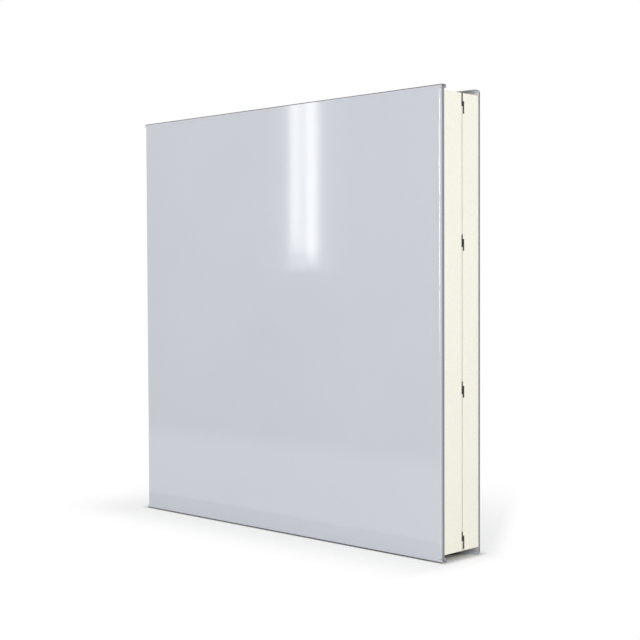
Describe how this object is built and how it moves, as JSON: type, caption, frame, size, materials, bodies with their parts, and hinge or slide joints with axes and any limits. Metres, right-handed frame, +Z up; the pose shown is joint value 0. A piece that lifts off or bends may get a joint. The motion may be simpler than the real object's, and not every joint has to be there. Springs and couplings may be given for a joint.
{
  "type": "insulated sandwich panel",
  "caption": "Upright insulated wall panel: folded glossy steel facings on a two-board foam core keyed by stepped plastic strips, with joint recesses along the top and bottom.",
  "frame": {"origin": "middle of the footprint that the panel stands on, at floor level", "axes": "+X along the panel's width, +Y out of the back face, +Z up; the glossy front face looks along -Y"},
  "size_m": [0.98, 0.132, 1],
  "materials": {
    "facing_paint": "gloss pale blue-grey coating on steel sheet",
    "core_foam": "cream rigid foam, cut faces",
    "strip_plastic": "dark grey rigid plastic"
  },
  "bodies": {
    "root": {"front_facing": "facing_paint", "back_facing": "facing_paint", "front_core_board": "core_foam", "back_core_board": "core_foam", "joint_strip_1": "strip_plastic", "joint_strip_2": "strip_plastic", "joint_strip_3": "strip_plastic", "joint_strip_4": "strip_plastic"}
  },
  "joints": []
}
